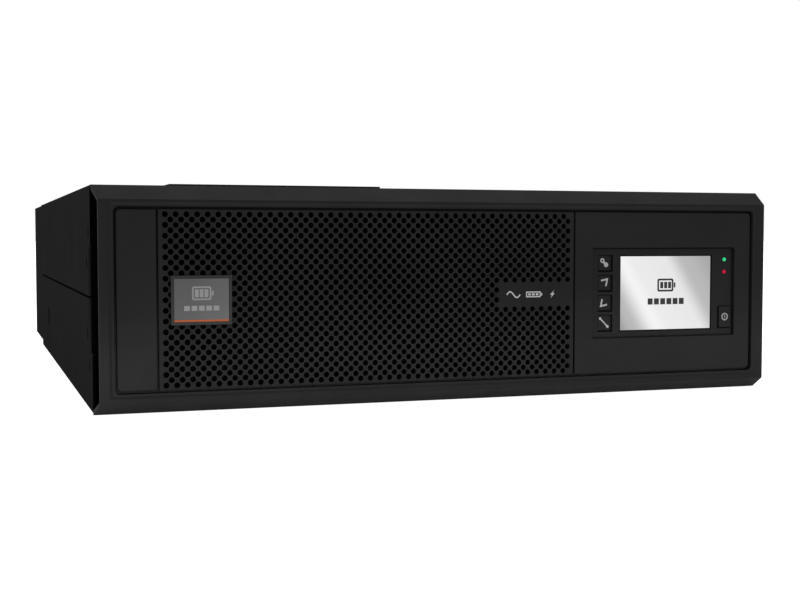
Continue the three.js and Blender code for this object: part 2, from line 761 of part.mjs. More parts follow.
// A signal connector: its flanged body and the raised metal shell.
function parallelPort(z) {
  const { x, width, height, inside, proud, shellWidth, shellHeight, shellProud } = parallel;
  const body = blockAt(x, z, width, height, [housing.rearY - inside, housing.rearY + proud]);
  return join(body, blockAt(x, z, shellWidth, shellHeight, [housing.rearY, housing.rearY + shellProud]));
}

function dryContactBlock() {
  const { x, z, width, height, inside, proud } = dryContact;
  return blockAt(x, z, width, height, [housing.rearY - inside, housing.rearY + proud]);
}

function groundStud() {
  const place = [earth.x, earth.z];
  const stud = rod("y", earth.radius, [plateY - earth.inside, housing.rearY + earth.proud], place, 16);
  const nut = rod("y", earth.nut, [outsideY, outsideY + earth.nutDeep], place, 6);
  return join(stud, nut);
}

add("rear_housing", rearHousing(), colours.painted, 0.7);
fan.xs.forEach((x, index) => {
  add(`fan_frame_${index + 1}`, fanFrame(x), colours.moulding);
  add(`fan_rotor_${index + 1}`, fanRotor(x), colours.moulding);
  add(`fan_guard_${index + 1}`, fanGuard(x), colours.bareMetal, 0.3, 1);
});
add("input_breaker", breakerBody(), colours.darkMetal);
add("breaker_lever", breakerLever(), colours.moulding);
add("battery_connector", batteryConnector(), colours.moulding);
add("terminal_block", terminalBlock(), colours.moulding);
add("terminal_cover", terminalCover(), colours.painted, 0.7);
grommet.xs.forEach((x, index) => add(`cable_grommet_${index + 1}`, cableGrommet(x), colours.rubber, 0.9));
add("card_slot_cover", cardSlotCover(), colours.painted, 0.7);
add("usb_port", usbPort(), colours.bareMetal, 0.4, 0.9);
parallel.zs.forEach((z, index) => {
  add(`parallel_port_${index + 1}`, parallelPort(z), colours.bareMetal, 0.4, 0.9);
});
add("dry_contact_block", dryContactBlock(), colours.board);
add("ground_stud", groundStud(), colours.bareMetal, 0.3, 1);

export default machine;
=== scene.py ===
import json
import math

import bmesh
import bpy
from mathutils import Matrix, Vector

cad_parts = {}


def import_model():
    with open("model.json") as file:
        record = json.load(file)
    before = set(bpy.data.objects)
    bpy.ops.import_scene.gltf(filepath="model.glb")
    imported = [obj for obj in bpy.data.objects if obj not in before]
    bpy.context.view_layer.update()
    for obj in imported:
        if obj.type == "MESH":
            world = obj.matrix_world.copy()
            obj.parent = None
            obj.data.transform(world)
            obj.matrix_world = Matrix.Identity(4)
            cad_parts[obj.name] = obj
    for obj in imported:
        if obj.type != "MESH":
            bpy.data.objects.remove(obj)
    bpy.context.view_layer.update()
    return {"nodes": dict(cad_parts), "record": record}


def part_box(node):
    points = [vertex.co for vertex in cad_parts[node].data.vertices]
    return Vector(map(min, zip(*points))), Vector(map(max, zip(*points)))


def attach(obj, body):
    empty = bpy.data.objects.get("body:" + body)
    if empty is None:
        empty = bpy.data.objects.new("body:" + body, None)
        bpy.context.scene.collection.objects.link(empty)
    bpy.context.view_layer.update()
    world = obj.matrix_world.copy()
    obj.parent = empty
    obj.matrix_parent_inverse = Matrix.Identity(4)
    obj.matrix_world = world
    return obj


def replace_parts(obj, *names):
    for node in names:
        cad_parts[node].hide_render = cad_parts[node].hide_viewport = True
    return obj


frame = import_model()

# ---------------------------------------------------------------- places and sizes, in millimetres
# The machine's own frame: X from the centre line, Y back from the front plane, Z up from the bezel's edge.

MM = 0.001
ORIGIN = Vector((0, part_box("bezel_frame")[0].y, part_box("bezel_frame")[0].z))


def local_box(node):
    """A CAD node's lowest and highest corners in the machine's own frame."""
    low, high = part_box(node)
    return (low - ORIGIN) / MM, (high - ORIGIN) / MM


def local_middle(node):
    low, high = local_box(node)
    return (low + high) / 2


def face_of(node):
    """A CAD node's lowest and highest corners, and the X and Z of its middle."""
    low, high = local_box(node)
    return low, high, (low.x + high.x) / 2, (low.z + high.z) / 2


def row_point(x, y, z):
    return ORIGIN + Vector((x, y, z)) * MM


REAR = local_box("rear_housing")[1].y  # the rear plate's outer face
# The grille's holes: a square grid, and the same grid again half a step across and down.
HOLE = {"radius": 1.72, "pitch": 6.045, "columns": 42, "rows": 17, "left": -178.2, "top": 113.4, "sides": 16}
SCREEN = {"half_x": 33.6, "half_z": 24.15}  # the lit face of the display
SHEET = 1.2  # the case's sheet metal
# Openings in the case's sides, by Z and Y: finger notches, small slots, and the seams between tray and cover.
NOTCH = {"low": 34, "high": 96, "rear": 31}
SLOT = {"low": 27, "high": 40, "front": 394, "rear": 414}
SEAM = {"low": 65.3, "high": 66.6, "front": 32, "rear": 488}
KEYS = ("key_escape", "key_up", "key_down", "key_enter")
LABEL = {"left": 26, "low": 57.5, "high": 72.5}  # the part of the grille left whole
INK = 0.06  # how far a printed mark stands off its surface
SAME_POINT = 1e-4  # two points closer than this are one
SHARPEST_MITRE = 0.3  # the cosine past which a stroke's corner is cut short
BEVEL = {"segments": 2, "angle": 32}  # edges sharper than this many degrees are rounded
CAMERA = {"x": -284.1, "y": -711.1, "z": 100.4, "yaw": 19.01, "pitch": 2.85, "lens": 56.66, "sensor": 36}

# ---------------------------------------------------------------- building solids

# Each face's two axes along it, and the way out of it.
FACES = {
    "front": ((1, 0, 0), (0, 0, 1), (0, -1, 0)),
    "rear": ((1, 0, 0), (0, 0, 1), (0, 1, 0)),
    "top": ((1, 0, 0), (0, 1, 0), (0, 0, 1)),
    "under": ((1, 0, 0), (0, 1, 0), (0, 0, -1)),
}


def on_face(face, place=(0, 0, 0)):
    """The matrix from (u, v, outward) in millimetres round a machine point to the row frame."""
    u, v, out = (Vector(axis) for axis in FACES[face])
    turn = Matrix((u, v, out)).transposed().to_4x4()
    return Matrix.Translation(row_point(*place)) @ turn @ Matrix.Scale(MM, 4)


def filled_loops(loops, thickness):
    """A bmesh of the area inside closed loops, holes left open, from 0 to a thickness outward."""
    curve = bpy.data.curves.new("outline", "CURVE")
    curve.dimensions = "2D"
    curve.fill_mode = "BOTH"
    curve.extrude = thickness / 2
    for loop in loops:
        spline = curve.splines.new("POLY")
        spline.points.add(len(loop) - 1)
        for point, (u, v) in zip(spline.points, loop):
            point.co = (u, v, 0, 1)
        spline.use_cyclic_u = True
    obj = bpy.data.objects.new("outline", curve)
    bpy.context.scene.collection.objects.link(obj)
    mesh = bpy.data.meshes.new_from_object(obj)
    bm = bmesh.new()
    bm.from_mesh(mesh)
    bmesh.ops.remove_doubles(bm, verts=bm.verts, dist=SAME_POINT)
    bm.transform(Matrix.Translation((0, 0, thickness / 2)))
    bpy.data.objects.remove(obj)
    bpy.data.curves.remove(curve)
    bpy.data.meshes.remove(mesh)
    return bm


def full_turn(steps):
    """Angles at even steps round a circle."""
    return [2 * math.pi * i / steps for i in range(steps)]


def turned(profile, sides=24, closed=False):
    """A bmesh spun round the outward axis from (radius, height) points."""
    bm = bmesh.new()
    rings = []
    for radius, height in profile:
        if radius == 0:
            rings.append([bm.verts.new((0, 0, height))])
            continue
        around = [(radius * math.cos(t), radius * math.sin(t), height) for t in full_turn(sides)]
        rings.append([bm.verts.new(point) for point in around])
    pairs = list(zip(rings, rings[1:])) + ([(rings[-1], rings[0])] if closed else [])
    for low, high in pairs:
        for i in range(sides):
            j = (i + 1) % sides
            corners = [low[i % len(low)], low[j % len(low)], high[j % len(high)], high[i % len(high)]]
            bm.faces.new(list(dict.fromkeys(corners)))
    return bm


def box(u, v, out):
    """A bmesh box between two values along each of a face's axes."""
    bm = bmesh.new()
    bmesh.ops.create_cube(bm, size=1)
    for vert in bm.verts:
        vert.co = [low + (high - low) * (at + 0.5) for at, (low, high) in zip(vert.co, (u, v, out))]
    return bm


class Piece:
    """One visual piece: solids are added on a face of the machine, then it rides on a CAD body."""

    def __init__(self, face):
        self.face = face
        self.bm = bmesh.new()

    def add(self, solid, place, turn=0.0):
        solid.transform(on_face(self.face, place) @ Matrix.Rotation(turn, 4, "Z"))
        mesh = bpy.data.meshes.new("solid")
        solid.to_mesh(mesh)
        solid.free()
        self.bm.from_mesh(mesh)
        bpy.data.meshes.remove(mesh)
        return self

    def ride(self, name, slot, body, soft=0.0, smooth=False, material=None):
        bmesh.ops.recalc_face_normals(self.bm, faces=self.bm.faces)
        for face in self.bm.faces:
            face.smooth = smooth
        mesh = bpy.data.meshes.new(name)
        self.bm.to_mesh(mesh)
        self.bm.free()
        mesh.materials.append(material or MATERIALS[slot])
        obj = bpy.data.objects.new(name, mesh)
        bpy.context.scene.collection.objects.link(obj)
        if soft:
            soften(obj, soft)
        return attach(obj, body)


def soften(obj, width):
    bevel = obj.modifiers.new("edges", "BEVEL")
    bevel.width = width * MM
    bevel.segments = BEVEL["segments"]
    bevel.limit_method = "ANGLE"
    bevel.angle_limit = math.radians(BEVEL["angle"])


def printed(name, face, place, loops, slot, body, material):
    """Flat marks printed on a surface."""
    Piece(face).add(filled_loops(loops, INK), place).ride(name, slot, body, material=material)


# ---------------------------------------------------------------- outlines


def circle(u, v, radius, sides=24):
    return [(u + radius * math.cos(t), v + radius * math.sin(t)) for t in full_turn(sides)]


def rectangle(left, right, low, high):
    return [(left, low), (right, low), (right, high), (left, high)]


def rounded(left, right, low, high, radius, steps=5):
    corners = ((right, low, -90), (right, high, 0), (left, high, 90), (left, low, 180))
    points = []
    for u, v, start in corners:
        centre_u = u - math.copysign(radius, u - (left + right) / 2)
        centre_v = v - math.copysign(radius, v - (low + high) / 2)
        for i in range(steps + 1):
            angle = math.radians(start + 90 * i / steps)
            points.append((centre_u + radius * math.cos(angle), centre_v + radius * math.sin(angle)))
    return points


def stroke(points, width):
    """A mitred open stroke through several points."""
    path = [Vector(p) for p in points]
    runs = [(b - a).normalized() for a, b in zip(path, path[1:])]
    left, right = [], []
    for point, before, after in zip(path, runs[:1] + runs, runs + runs[-1:]):
        normal = Vector((-before.y - after.y, before.x + after.x)).normalized()
        reach = width / 2 / max(normal.dot(Vector((-before.y, before.x))), SHARPEST_MITRE)
        left.append(tuple(point + normal * reach))
        right.append(tuple(point - normal * reach))
    return left + right[::-1]


def moved(loop, du, dv, turn=0.0):
    c, s = math.cos(turn), math.sin(turn)
    return [(du + u * c - v * s, dv + u * s + v * c) for u, v in loop]


# ---------------------------------------------------------------- materials


NOISE_RANGE = (0.3, 0.7)  # where nearly all of a noise texture's values lie
DRIFT = {"size": 45, "detail": 4}  # slow changes of shade across a surface
GLOSS = {"size": 12, "detail": 5, "change": 0.05}  # patches of more and less gloss
SCRATCH = {"size": 0.4, "detail": 4, "dark": 0.8, "light": 1.15, "smoother": 0.08, "rougher": 0.12}
SCRATCH |= {"depth": 0.02, "strength": 0.4}
LIGHT_PIPE = {"size": 1.2, "dark": 0.8, "roughness": 0.25, "specular": 0.1}
PRINT = {"size": 0.5, "dark": 0.92, "roughness": 0.55, "specular": 0.2}


class Shader:
    """A Principled material with short calls for its nodes."""

    def __init__(self, name):
        self.material = bpy.data.materials.new(name)
        self.material.use_nodes = True
        self.tree = self.material.node_tree
        self.bsdf = self.tree.nodes["Principled BSDF"]

    def node(self, kind, **values):
        made = self.tree.nodes.new(kind)
        for key, value in values.items():
            setattr(made, key, value)
        return made

    def link(self, out, into):
        self.tree.links.new(out, into)

    def set(self, **values):
        for key, value in values.items():
            self.bsdf.inputs[key.replace("_", " ")].default_value = value

    def coordinates(self, scale=(1, 1, 1)):
        where = self.node("ShaderNodeTexCoord")
        mapping = self.node("ShaderNodeMapping")
        mapping.inputs["Scale"].default_value = scale
        self.link(where.outputs["Object"], mapping.inputs["Vector"])
        return mapping.outputs["Vector"]

    def noise(self, size_mm, detail=3.0, stretch=(1, 1, 1)):
        noise = self.node("ShaderNodeTexNoise")
        noise.inputs["Scale"].default_value = 1 / (size_mm * MM)
        noise.inputs["Detail"].default_value = detail
        self.link(self.coordinates(stretch), noise.inputs["Vector"])
        return noise.outputs["Fac"]

    def spread(self, value, low, high):
        """Maps a noise value to a range."""
        span = self.node("ShaderNodeMapRange")
        span.inputs["From Min"].default_value, span.inputs["From Max"].default_value = NOISE_RANGE
        span.inputs["To Min"].default_value = low
        span.inputs["To Max"].default_value = high
        self.link(value, span.inputs["Value"])
        return span.outputs["Result"]

    def shade(self, factor, dark, light):
        mix = self.node("ShaderNodeMix", data_type="RGBA")
        mix.inputs["A"].default_value = (*dark, 1)
        mix.inputs["B"].default_value = (*light, 1)
        self.link(factor, mix.inputs["Factor"])
        return mix.outputs["Result"]

    def bump(self, height, depth_mm, strength=1.0):
        bump = self.node("ShaderNodeBump")
        bump.inputs["Distance"].default_value = depth_mm * MM
        bump.inputs["Strength"].default_value = strength
        self.link(height, bump.inputs["Height"])
        self.link(bump.outputs["Normal"], self.bsdf.inputs["Normal"])


def scaled(colour, factor):
    return tuple(c * factor for c in colour)


def grained(name, colour, roughness, specular, grain_mm, depth_mm, variation=0.1, metallic=0.0):
    """A moulded, painted or cast surface: fine grain, and slow drifts in shade and gloss."""
    s = Shader(name)
    drift = s.spread(s.noise(DRIFT["size"], DRIFT["detail"]), 0, 1)
    shades = s.shade(drift, scaled(colour, 1 - variation), scaled(colour, 1 + variation))
    s.link(shades, s.bsdf.inputs["Base Color"])
    patches = s.noise(GLOSS["size"], GLOSS["detail"])
    dull = s.spread(patches, roughness - GLOSS["change"], roughness + GLOSS["change"])
    s.link(dull, s.bsdf.inputs["Roughness"])
    s.bump(s.noise(grain_mm, 2), depth_mm)
    s.set(Metallic=metallic, Specular_IOR_Level=specular)
    return s.material


def brushed(name, colour, roughness, stretch, metallic=1.0):
    """Metal with fine straight scratches."""
    s = Shader(name)
    lines = s.noise(SCRATCH["size"], SCRATCH["detail"], stretch)
    dark, light = scaled(colour, SCRATCH["dark"]), scaled(colour, SCRATCH["light"])
    s.link(s.shade(s.spread(lines, 0, 1), dark, light), s.bsdf.inputs["Base Color"])
    dull = s.spread(lines, roughness - SCRATCH["smoother"], roughness + SCRATCH["rougher"])
    s.link(dull, s.bsdf.inputs["Roughness"])
    s.bump(lines, SCRATCH["depth"], SCRATCH["strength"])
    s.set(Metallic=metallic)
    return s.material


def glowing(name, colour, glow, strength):
    """A lit light pipe of tinted plastic."""
    s = Shader(name)
    patches = s.spread(s.noise(LIGHT_PIPE["size"], 2), 0, 1)
    s.link(s.shade(patches, scaled(colour, LIGHT_PIPE["dark"]), colour), s.bsdf.inputs["Base Color"])
    s.set(Roughness=LIGHT_PIPE["roughness"], Specular_IOR_Level=LIGHT_PIPE["specular"])
    s.set(Emission_Color=(*glow, 1), Emission_Strength=strength)
    return s.material


def ink(name, colour):
    """Printed paint with a fine speckle."""
    s = Shader(name)
    speckle = s.spread(s.noise(PRINT["size"], 2), 0, 1)
    s.link(s.shade(speckle, scaled(colour, PRINT["dark"]), colour), s.bsdf.inputs["Base Color"])
    s.set(Roughness=PRINT["roughness"], Specular_IOR_Level=PRINT["specular"])
    return s.material


# Colour, roughness, specular level, grain size and depth in millimetres, and how far the shade varies.
GRAINED = {
    "case_paint": ((0.0241, 0.0241, 0.0243), 0.6, 0.0, 0.35, 0.01, 0.05),
    "bezel_plastic": ((0.02, 0.02, 0.0202), 0.5, 0.08, 0.25, 0.004),
    "display_plastic": ((0.02, 0.02, 0.0203), 0.45, 0.08, 0.2, 0.003),
    "filter_foam": ((0.004, 0.004, 0.004), 0.95, 0.0, 0.8, 0.2),
    "foot_rubber": ((0.01, 0.01, 0.01), 0.85, 0.2, 0.6, 0.03),
    "circuit_board": ((0.01, 0.09, 0.035), 0.35, 0.5, 1.5, 0.02, 0.3),
    "capacitor_sleeve": ((0.01, 0.014, 0.04), 0.3, 0.5, 3, 0.02),
    "core_steel": ((0.06, 0.06, 0.065), 0.5, 0.4, 0.5, 0.03),
    "connector_plastic": ((0.014, 0.014, 0.0145), 0.5, 0.2, 0.3, 0.01),
    "plug_green": ((0.01, 0.14, 0.05), 0.45, 0.4, 0.3, 0.01),
}
# Colour, roughness, how the scratches are stretched, and how metallic it is.
BRUSHED = {
    "sink_aluminium": ((0.55, 0.56, 0.58), 0.35, (30, 1, 30)),
    "winding_enamel": ((0.35, 0.12, 0.04), 0.3, (1, 1, 12), 0.4),
    "plated_steel": ((0.42, 0.42, 0.42), 0.3, (1, 8, 8)),
}
# The plastic's colour, its light's colour and strength.
GLOWING = {
    "lamp_green": ((0.02, 0.3, 0.1), (0.025, 0.52, 0.2), 1.0),
    "lamp_red": ((0.2, 0.004, 0.02), (0.46, 0.006, 0.035), 1.0),
}
MATERIALS = {}
for make, looks in ((grained, GRAINED), (brushed, BRUSHED), (glowing, GLOWING)):
    for slot_name, look in looks.items():
        MATERIALS[slot_name] = make(slot_name, *look)

INK_GREY = ink("print_grey", (0.36, 0.36, 0.36))
INK_KEY = ink("print_key", (0.5, 0.5, 0.5))
INK_LIGHT = ink("print_light", (0.6, 0.6, 0.6))
INK_DARK = ink("print_dark", (0.05, 0.05, 0.052))
ORANGE = ink("strip_orange", (0.52, 0.12, 0.035))
BRASS = brushed("contact_brass", (0.6, 0.42, 0.16), 0.3, (8, 8, 1))
# Black for print and the screen's mask, and for the painted shadow round the keys.
BLACK_INK_AND_SHADE = grained("black_ink_and_painted_shade", (0.006, 0.006, 0.006), 0.8, 0.0, 0.5, 0.01)
# Near-black painted shade for strips where shade falls: the case's edges, notches, slots and seams, and the
# grille's edges.
SHADE_BLACK = grained("painted_shade_black", (0.002, 0.002, 0.002), 0.95, 0.0, 0.6, 0.1)
GRILLE_PAINT = grained("grille_paint", (0.0222, 0.0222, 0.0224), 0.55, 0.05, 0.3, 0.006)
BADGE_RIM = grained("badge_rim", (0.042, 0.042, 0.043), 0.35, 0.1, 0.3, 0.003)

# Grey levels along a line across the front: where it starts and ends, how much X and Z count, and the stops.
# The screen's glow along this line, with a painted reflection: the bright middle stops are a soft diagonal
# band of reflected light.
SCREEN_GLOW_AND_REFLECTION = {"start": 135, "end": 231, "across": 1.0, "up": 0.6}
SCREEN_GLOW_AND_REFLECTION["stops"] = [(0, 0.3), (0.12, 0.46), (0.3, 0.9), (0.4, 0.83), (0.62, 0.8), (0.78, 0.47), (1, 0.37)]
# The badge's colour along this line, with a painted sheen: lighter towards its right.
BADGE_SHEEN_BAND = {"start": -176, "end": -140, "across": 1.0, "up": -0.15}
BADGE_SHEEN_BAND["stops"] = [(0, 0.137), (0.5, 0.16), (1, 0.2)]
BLUER = 1.01  # how much more blue than red a grey has
LIT_DEPTH = 0.4  # the screen module glows on its front face only


def banded(s, band):
    """Grey levels that change along a straight line across the front."""
    split = s.node("ShaderNodeSeparateXYZ")
    s.link(s.coordinates(), split.inputs["Vector"])
    total = s.node("ShaderNodeMath", operation="ADD")
    for entry, (output, weight) in enumerate((("X", band["across"]), ("Z", band["up"]))):
        part = s.node("ShaderNodeMath", operation="MULTIPLY")
        part.inputs[1].default_value = weight
        s.link(split.outputs[output], part.inputs[0])
        s.link(part.outputs[0], total.inputs[entry])
    span = s.node("ShaderNodeMapRange")
    span.inputs["From Min"].default_value = band["start"] * MM
    span.inputs["From Max"].default_value = band["end"] * MM
    s.link(total.outputs[0], span.inputs["Value"])
    ramp = s.node("ShaderNodeValToRGB")
    ramp.color_ramp.interpolation = "EASE"
    elements = ramp.color_ramp.elements
    while len(elements) < len(band["stops"]):
        elements.new(0.5)
    for element, (position, grey) in zip(elements, band["stops"]):
        element.position = position
        element.color = (grey, grey, grey * BLUER, 1)
    s.link(span.outputs["Result"], ramp.inputs["Fac"])
    return ramp.outputs["Color"]


def near_front(s, node, depth):
    """One on a node's front face, and nothing deeper than a depth behind it."""
    split = s.node("ShaderNodeSeparateXYZ")
    s.link(s.coordinates(), split.inputs["Vector"])
    span = s.node("ShaderNodeMapRange")
    span.inputs["From Min"].default_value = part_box(node)[0].y + depth * MM / 2
    span.inputs["From Max"].default_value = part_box(node)[0].y + depth * MM
    span.inputs["To Min"].default_value = 1
    span.inputs["To Max"].default_value = 0
    s.link(split.outputs["Y"], span.inputs["Value"])
    return span.outputs["Result"]


def screen_material():
    """A lit silver screen with one soft diagonal band of brighter light, a painted reflection; the module's
    other faces are dark.
    """
    s = Shader("screen")
    lit = s.node("ShaderNodeMix", data_type="RGBA")
    lit.inputs["A"].default_value = (0, 0, 0, 1)
    s.link(banded(s, SCREEN_GLOW_AND_REFLECTION), lit.inputs["B"])
    s.link(near_front(s, "lcd_module", LIT_DEPTH), lit.inputs["Factor"])
    s.link(lit.outputs["Result"], s.bsdf.inputs["Emission Color"])
    s.link(s.shade(s.noise(0.3, 1), (0.03, 0.03, 0.03), (0.04, 0.04, 0.04)), s.bsdf.inputs["Base Color"])
    s.set(Roughness=0.2, Emission_Strength=0.95, Specular_IOR_Level=0.3)
    return s.material


def badge_material():
    """A grey metallic plate, a little lighter towards its right: a painted sheen."""
    s = Shader("badge_silver")
    s.link(banded(s, BADGE_SHEEN_BAND), s.bsdf.inputs["Base Color"])
    s.set(Roughness=0.4, Specular_IOR_Level=0.1)
    s.bump(s.noise(0.3, 3, (1, 1, 20)), 0.01, 0.3)
    return s.material


MATERIALS["screen"] = screen_material()
MATERIALS["badge_silver"] = badge_material()

# ---------------------------------------------------------------- CAD nodes

SOFT_EDGES = {  # edge rounding in millimetres, where it isn't the usual one
    "bezel_frame": 0.15,
    "blank_panel": 0.35,
    "control_fascia": 0.35,
    "badge_plate": 0.05,
    "lcd_module": 0.1,
    "top_access_plate": 0.1,
}
USUAL_EDGE = 0.25
WELD = 0.001  # in millimetres
FLAT_ANGLE = 1  # faces within this many degrees of each other are one face
OWN_MATERIAL = {"badge_base": BADGE_RIM}
SLOT_OF = {row["node"]: row["material_slot"] for row in frame["record"]["subparts"]}


def dress_node(name, obj):
    """The node's material, and rounded edges on faces that are first made whole again."""
    obj.data.materials.clear()
    obj.data.materials.append(OWN_MATERIAL.get(name, MATERIALS[SLOT_OF[name]]))
    weld = obj.modifiers.new("weld", "WELD")
    weld.merge_threshold = WELD * MM
    whole = obj.modifiers.new("whole_faces", "DECIMATE")
    whole.decimate_type = "DISSOLVE"
    whole.angle_limit = math.radians(FLAT_ANGLE)
    soften(obj, SOFT_EDGES.get(name, USUAL_EDGE))


for node_name, node_object in frame["nodes"].items():
    dress_node(node_name, node_object)

# ---------------------------------------------------------------- front


def grille_holes():
    """Hole centres: a square grid and a second one half a step across and down."""
    centres = []
    for shift in (0, 1):
        for row in range(HOLE["rows"] - shift):
            for column in range(HOLE["columns"]):
                x = HOLE["left"] + (column + shift / 2) * HOLE["pitch"]
                z = HOLE["top"] - (row + shift / 2) * HOLE["pitch"]
                in_label = x > LABEL["left"] and LABEL["low"] < z < LABEL["high"]
                if not in_label:
                    centres.append((x, z))
    return centres


def perforated_grille():
    low, high = local_box("intake_grille")
    loops = [rectangle(low.x, high.x, low.z, high.z)]
    loops += [circle(x, z, HOLE["radius"], HOLE["sides"]) for x, z in grille_holes()]
    grille = Piece("front").add(filled_loops(loops, high.y - low.y), (0, high.y, 0))
    grille.ride("perforated_grille", "case_paint", "bezel", material=GRILLE_PAINT)
    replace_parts(bpy.data.objects["perforated_grille"], "intake_grille")


def grille_edge_shade():
    """Painted shade: near-black strips that close the space between the grille's edges and the ledge behind
    it.
    """
    low, high = local_box("intake_grille")
    margin, width, thickness, back = 0.2, 4.2, 1.2, 1.5
    grille_shade = Piece("front")
    for z in (low.z + margin, high.z - margin - width):
        grille_shade.add(box((low.x + 1, high.x - 1), (z, z + width), (0, thickness)), (0, high.y + back, 0))
    grille_shade.ride("grille_edge_shade", "filter_foam", "bezel", material=SHADE_BLACK)


def wider(span, margin):
    """A range with a margin added at both ends."""
    return (span[0] - margin, span[1] + margin)


def case_edge_shade():
    """Painted shade: near-black strips on the case's front edges, inside its notches and slots and along its
    side seams, where shade falls.
    """
    plate, tray_front = local_box("front_bulkhead")[0].y, local_box("base_tray")[0].y
    floor_z, roof_z = local_box("base_tray")[0].z, local_box("top_cover")[1].z
    wall = local_box("base_tray")[1].x
    inner = wall - SHEET
    edge = wall - 6.75
    behind = (inner - 0.5, inner - 0.1)
    margin = 2
    notch = wider((NOTCH["low"], NOTCH["high"]), margin)
    slot = wider((SLOT["low"], SLOT["high"]), margin)
    slot_depth = wider((-SLOT["rear"], -SLOT["front"]), margin)
    strips = {  # across, up and outward
        "front plate": ((edge, inner - 0.2), (4, roof_z - 2.4), (0.05 - plate, 0.35 - plate)),
        "cover": ((edge, wall), (NOTCH["high"] + 0.2, roof_z - 1.4), (0.4 - plate, 0.9 - plate)),
        "tray": ((inner, wall), (floor_z + 0.5, NOTCH["low"] - 0.2), (0.05 - tray_front, 0.5 - tray_front)),
        "notch": (behind, notch, (-NOTCH["rear"] - 3, -plate - 1.5)),
        "slot": (behind, slot, slot_depth),
        "seam": ((inner - 0.25, inner), (SEAM["low"], SEAM["high"]), (-SEAM["rear"], -SEAM["front"])),
    }
    case_shade = Piece("front")
    for side in (-1, 1):
        for across, up, outward in strips.values():
            case_shade.add(box(sorted(side * x for x in across), up, outward), (0, 0, 0))
    lip = (floor_z + 0.1, floor_z + SHEET - 0.1)
    case_shade.add(box((-inner, inner), lip, (0.05, 0.7)), (0, tray_front, 0))
    case_shade.ride("case_edge_shade", "filter_foam", "chassis", material=SHADE_BLACK)


def screen_border():
    """A black mask that fills the gap round the screen and covers its outermost half millimetre."""
    low, _, x, z = face_of("lcd_module")
    edges = []
    for grow in (0.25, -0.5):
        half_x, half_z = SCREEN["half_x"] + grow, SCREEN["half_z"] + grow
        edges.append(rectangle(x - half_x, x + half_x, z - half_z, z + half_z))
    printed("screen_border", "front", (0, low.y, 0), edges, "display_plastic", "bezel", BLACK_INK_AND_SHADE)


def bar_row(left, low, high, width, pitch, count):
    """Upright bars of one size, side by side."""
    return [rectangle(left + pitch * i, left + pitch * i + width, low, high) for i in range(count)]


def battery(left, low, size, wall, corners, tab, bars):
    """A battery pictogram of a width and a height, with a wall between its outer and inner corners.

    Its terminal is (gap, width, half height) and its charge bars are (inset, width, pitch, half height)."""
    right, high, middle = left + size[0], low + size[1], low + size[1] / 2
    gap, tab_width, tab_half = tab
    inset, bar_width, pitch, bar_half = bars
    loops = [rounded(left, right, low, high, corners[0])]
    loops += [rounded(left + wall, right - wall, low + wall, high - wall, corners[1])]
    loops += [rectangle(right + gap, right + gap + tab_width, middle - tab_half, middle + tab_half)]
    return loops + bar_row(left + inset, middle - bar_half, middle + bar_half, bar_width, pitch, 3)


# The three batteries, on the label, the badge and the screen.
LABEL_BATTERY = {"size": (10, 3.6), "wall": 0.7, "corners": (0.5, 0.3)}
LABEL_BATTERY |= {"tab": (0.2, 0.8, 0.8), "bars": (1.4, 1.8, 2.6, 0.65)}
BADGE_BATTERY = {"size": (11, 7.8), "wall": 0.9, "corners": (1.1, 0.5)}
BADGE_BATTERY |= {"tab": (0.3, 1.0, 1.3), "bars": (1.6, 2.2, 2.75, 2.3)}
SCREEN_BATTERY = {"size": (11.8, 8.4), "wall": 1.2, "corners": (1.2, 0.5)}
SCREEN_BATTERY |= {"tab": (0.3, 1.2, 1.6), "bars": (2.1, 2.2, 2.9, 2.1)}
WAVE = {"left": 31, "width": 9, "height": 3.6, "stroke": 0.8, "steps": 16}
BOLT = [(1.2, 2.4), (-1.6, -0.4), (-0.2, -0.4), (-1.2, -2.4), (1.6, 0.5), (0.2, 0.5)]
# The rows of plain bars below the badge's and the screen's batteries.
BADGE_BARS = {"low": 58.8, "high": 61.6, "width": 3.2, "pitch": 4.2, "count": 5}
SCREEN_BARS = {"low": 57, "high": 61, "width": 3.6, "pitch": 4.6, "count": 6}
LABEL_MARKS = {"battery": 44, "bolt": 62}  # where they stand along X, after the wave


def wave(z):
    """One period of a sine wave as a stroke."""
    parts = [i / WAVE["steps"] for i in range(WAVE["steps"] + 1)]
    half = WAVE["height"] / 2
    points = [(WAVE["left"] + WAVE["width"] * t, z + half * math.sin(2 * math.pi * t)) for t in parts]
    return stroke(points, WAVE["stroke"])


def label_marks():
    """Generic marks in place of a name: a wave, a battery and a bolt."""
    y = local_box("intake_grille")[0].y
    z = (LABEL["low"] + LABEL["high"]) / 2
    loops = [wave(z)]
    loops += battery(LABEL_MARKS["battery"], z - LABEL_BATTERY["size"][1] / 2, **LABEL_BATTERY)
    loops += [moved(BOLT, LABEL_MARKS["bolt"], z)]
    printed("label_marks", "front", (0, y, 0), loops, "badge_silver", "bezel", INK_LIGHT)


def badge_marks():
    """A battery pictogram over plain bars, and the orange strip along the foot of the badge."""
    low, high, x, _ = face_of("badge_plate")
    place = (0, low.y, 0)
    marks = battery(x - BADGE_BATTERY["size"][0] / 2, 64.8, **BADGE_BATTERY)
    marks += bar_row(x - 10, **BADGE_BARS)
    printed("badge_marks", "front", place, marks, "badge_silver", "bezel", INK_GREY)
    strip = [rectangle(low.x, high.x, low.z + 0.1, low.z + 1.2)]
    printed("badge_strip", "front", place, strip, "badge_silver", "bezel", ORANGE)


def screen_marks():
    """A dark battery pictogram over a row of load bars."""
    low, _, x, _ = face_of("lcd_module")
    loops = battery(x - 6.2, 65.3, **SCREEN_BATTERY)
    loops += bar_row(x - 13.2, **SCREEN_BARS)
    printed("screen_marks", "front", (0, low.y, 0), loops, "screen", "bezel", INK_DARK)


